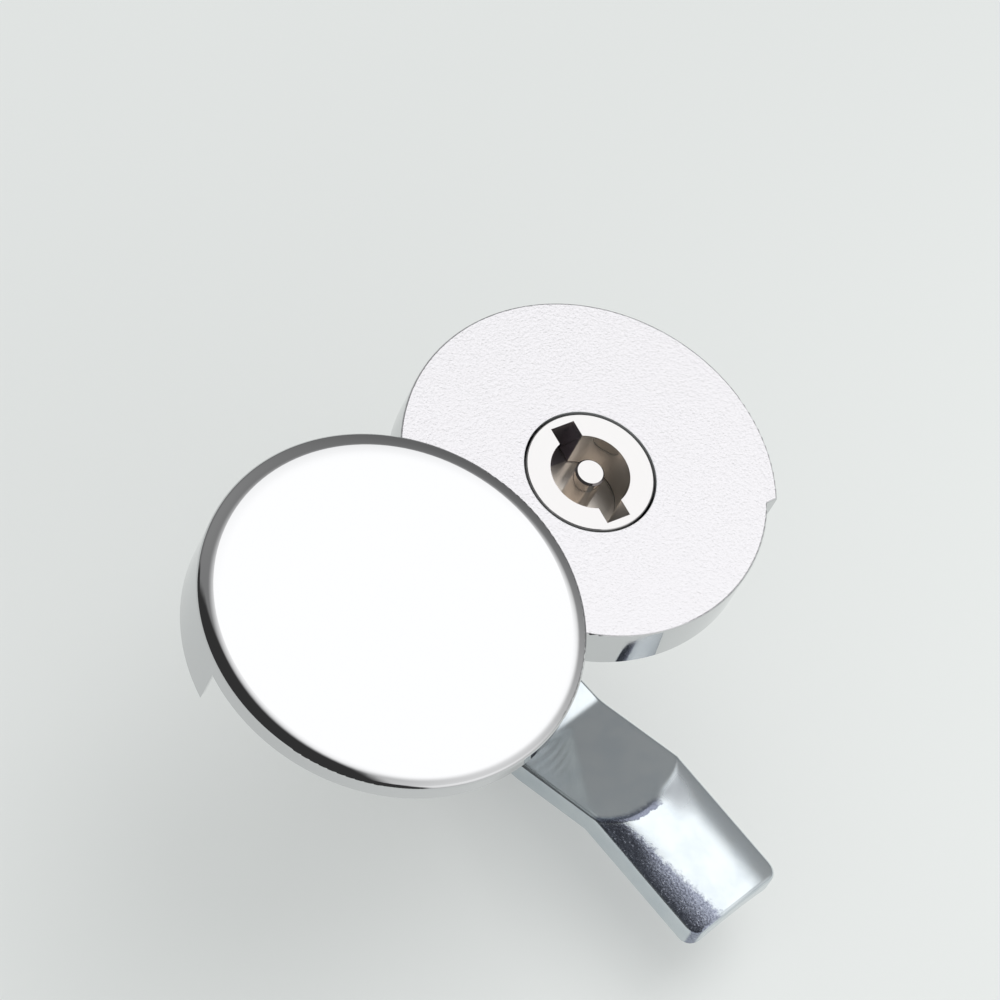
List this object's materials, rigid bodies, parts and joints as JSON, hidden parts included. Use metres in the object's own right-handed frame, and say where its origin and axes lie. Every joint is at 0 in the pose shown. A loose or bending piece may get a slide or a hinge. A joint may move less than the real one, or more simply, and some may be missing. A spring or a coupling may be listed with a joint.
{
  "type": "cam lock",
  "caption": "Quarter-turn cam lock: round rosette with a double-bit key socket, a round cover that swings aside, a threaded barrel and an offset cam.",
  "frame": {"origin": "centre of the rosette's rear face, on the lock's axis, where the panel lies", "axes": "+Z along the lock's axis towards the front, +Y towards the cover's pivot"},
  "size_m": [0.0738, 0.0858, 0.0605],
  "materials": {
    "satin_chrome": "satin chrome-plated zinc casting",
    "polished_chrome": "polished chrome-plated zinc casting",
    "key_metal": "nickel-coloured plated zinc casting",
    "zinc_steel": "blue zinc-plated pressed steel",
    "spring_steel": "plain spring steel",
    "seal_rubber": "black rubber",
    "bush_plastic": "natural acetal"
  },
  "bodies": {
    "housing": {"housing": "satin_chrome", "panel_gasket": "seal_rubber", "tooth_washer": "zinc_steel", "mounting_nut": "zinc_steel", "rear_bush": "bush_plastic", "pivot_bush": "bush_plastic"},
    "barrel": {"key_barrel": "key_metal", "barrel_seal": "seal_rubber", "thrust_washer": "zinc_steel", "circlip": "spring_steel", "stop_washer": "zinc_steel", "cam": "zinc_steel", "cam_washer": "zinc_steel", "spring_washer": "spring_steel", "cam_screw": "zinc_steel"},
    "cover": {"cover": "polished_chrome", "disc_spring": "spring_steel", "pivot_stop_plate": "zinc_steel", "pivot_screw": "zinc_steel"}
  },
  "joints": [
    {"name": "cover_swing", "type": "hinge", "parent": "housing", "child": "cover", "pos_m": [0, 0.01898, 0.007], "axis": [0, 0, 1], "range_deg": [0, 152.5]},
    {"name": "barrel_turn", "type": "hinge", "parent": "housing", "child": "barrel", "pos_m": [0, 0, 0], "axis": [0, 0, 1], "range_deg": [0, 90]}
  ]
}
